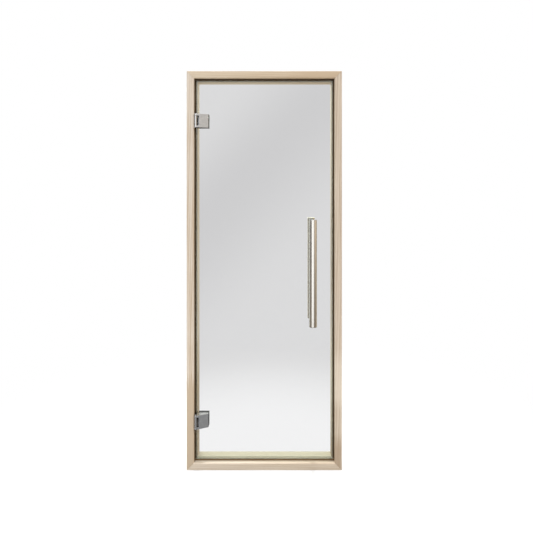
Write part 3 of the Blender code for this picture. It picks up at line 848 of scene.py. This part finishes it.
def makeFloor():
    half = studio["floorSize"] / 2
    bm = bmesh.new()
    corners = ((-half, -half, 0), (half, -half, 0), (half, half, 0), (-half, half, 0))
    bm.faces.new([bm.verts.new(point) for point in corners])
    floor = makeObject("studioFloor", bm, (0, 0, cadBox[0].z - 0.5 * mm))
    material, tree = newMaterial("paintedFloor")
    coords = addNode(tree, "TexCoord").outputs["Object"]
    away = addNode(tree, "VectorMath", {0: coords}, operation="LENGTH").outputs["Value"]
    cover = addNode(tree, "MapRange", {
        "Value": away, "From Min": studio["floorNear"], "From Max": studio["floorFar"],
        "To Min": 1.0, "To Max": 0.0,
    }, interpolation_type="SMOOTHSTEP").outputs["Result"]
    rays = addNode(tree, "LightPath").outputs
    paint = addNode(tree, "BsdfDiffuse", {"Color": linear(studio["floorPaint"])}).outputs[0]
    dull = addNode(tree, "BsdfDiffuse", {"Color": linear(studio["floorMirrored"])}).outputs[0]
    light = addNode(tree, "Emission", {"Strength": studio["floorCamera"]}).outputs[0]
    pool = addNode(tree, "Emission", {
        "Color": linear(studio["poolTone"]), "Strength": studio["poolLight"],
    }).outputs[0]
    seen = addNode(tree, "AddShader", {0: paint, 1: light}).outputs[0]
    plain = addNode(tree, "MixShader", {0: rays["Is Camera Ray"], 1: paint, 2: seen}).outputs[0]
    mirrored = addNode(tree, "MixShader", {0: rays["Is Glossy Ray"], 1: plain, 2: dull}).outputs[0]
    behind = addNode(tree, "MixShader", {0: rays["Is Transmission Ray"], 1: mirrored, 2: pool}).outputs[0]
    gone = addNode(tree, "BsdfTransparent").outputs[0]
    finishMaterial(tree, addNode(tree, "MixShader", {0: cover, 1: gone, 2: behind}).outputs[0])
    floor.data.materials.append(material)


def makeRoom(tree, parts):
    # what lights the door: dim walls, then each brighter part laid over them with soft sides
    colour = linear(studio["leftTone"])
    for tone, strength, sides in studio["room"]:
        share = 1.0
        for axis, dark, lit in sides:
            side = addNode(tree, "MapRange", {
                "Value": parts[axis], "From Min": dark, "From Max": lit,
            }, interpolation_type="SMOOTHSTEP").outputs["Result"]
            share = addNode(tree, "Math", {0: side, 1: share}, operation="MULTIPLY").outputs[0]
        light = (*[part * strength for part in linear(tone)[:3]], 1)
        colour = addNode(tree, "MixRGB", {"Fac": share, "Color1": colour, "Color2": light}).outputs[0]
    return colour


def makeBackdrop(tree, parts):
    # tone by the slope of a line of sight, right and down against away, so that the shade runs slantwise
    slant = addNode(tree, "Math", {0: parts["X"], 1: parts["Z"]}, operation="SUBTRACT").outputs[0]
    slope = addNode(tree, "Math", {0: slant, 1: parts["Y"]}, operation="DIVIDE").outputs[0]
    place = addNode(tree, "MapRange", {
        "Value": slope, "From Min": -studio["slopeSpan"], "From Max": studio["slopeSpan"],
    }).outputs["Result"]
    stops = [(0.5 + slope / studio["slopeSpan"] / 2, tone) for slope, tone in studio["backdrop"]]
    ramp = addNode(tree, "ValToRGB", {"Fac": place}, stops=stops)
    ramp.color_ramp.interpolation = "EASE"
    return ramp.outputs["Color"]


def makeWorld():
    world = bpy.data.worlds.new("studioWorld")
    scene.world = world
    world.use_nodes = True
    tree = world.node_tree
    tree.nodes.clear()
    direction = addNode(tree, "TexCoord").outputs["Generated"]
    parts = addNode(tree, "SeparateXYZ", {0: direction}).outputs
    rays = addNode(tree, "LightPath").outputs
    light = addNode(tree, "Background", {"Color": makeRoom(tree, parts)}).outputs[0]
    behind = addNode(tree, "Background", {"Color": makeBackdrop(tree, parts)}).outputs[0]
    white = addNode(tree, "Background", {"Color": (1, 1, 1, 1)}).outputs[0]
    through = addNode(tree, "MixShader", {0: rays["Is Transmission Ray"], 1: light, 2: behind}).outputs[0]
    seen = addNode(tree, "MixShader", {0: rays["Is Camera Ray"], 1: through, 2: white}).outputs[0]
    output = tree.nodes.new("ShaderNodeOutputWorld")
    tree.links.new(seen, output.inputs["Surface"])


def makeLamp():
    lamp = bpy.data.lights.new("overheadLamp", "SUN")
    lamp.color = linear(studio["lampTone"])[:3]
    lamp.energy = studio["lampStrength"]
    lamp.angle = math.radians(studio["lampAngle"])
    forward, aside = (math.radians(angle) for angle in studio["lampTilt"])
    holder = bpy.data.objects.new("overheadLamp", lamp)
    holder.rotation_euler = (forward, -aside, 0)
    scene.collection.objects.link(holder)


def makeCamera():
    # the photograph is square on, with the lens axis high and left of the picture's middle
    view = {
        "place": (0.089, -1.935, 1.2776),
        "imageSide": 533,
        "focalPixels": 421.5,
        "axisPixel": (284, 186.95),
        "sensor": 36.0,
    }
    data = bpy.data.cameras.new("camera")
    data.sensor_width = view["sensor"]
    data.lens = view["sensor"] * view["focalPixels"] / view["imageSide"]
    data.shift_x = 0.5 - view["axisPixel"][0] / view["imageSide"]
    data.shift_y = view["axisPixel"][1] / view["imageSide"] - 0.5
    camera = bpy.data.objects.new("camera", data)
    camera.location = view["place"]
    camera.rotation_euler = (math.radians(90), 0, 0)
    scene.collection.objects.link(camera)
    scene.camera = camera


makeFloor()
makeWorld()
makeLamp()
makeCamera()
print("studio made")
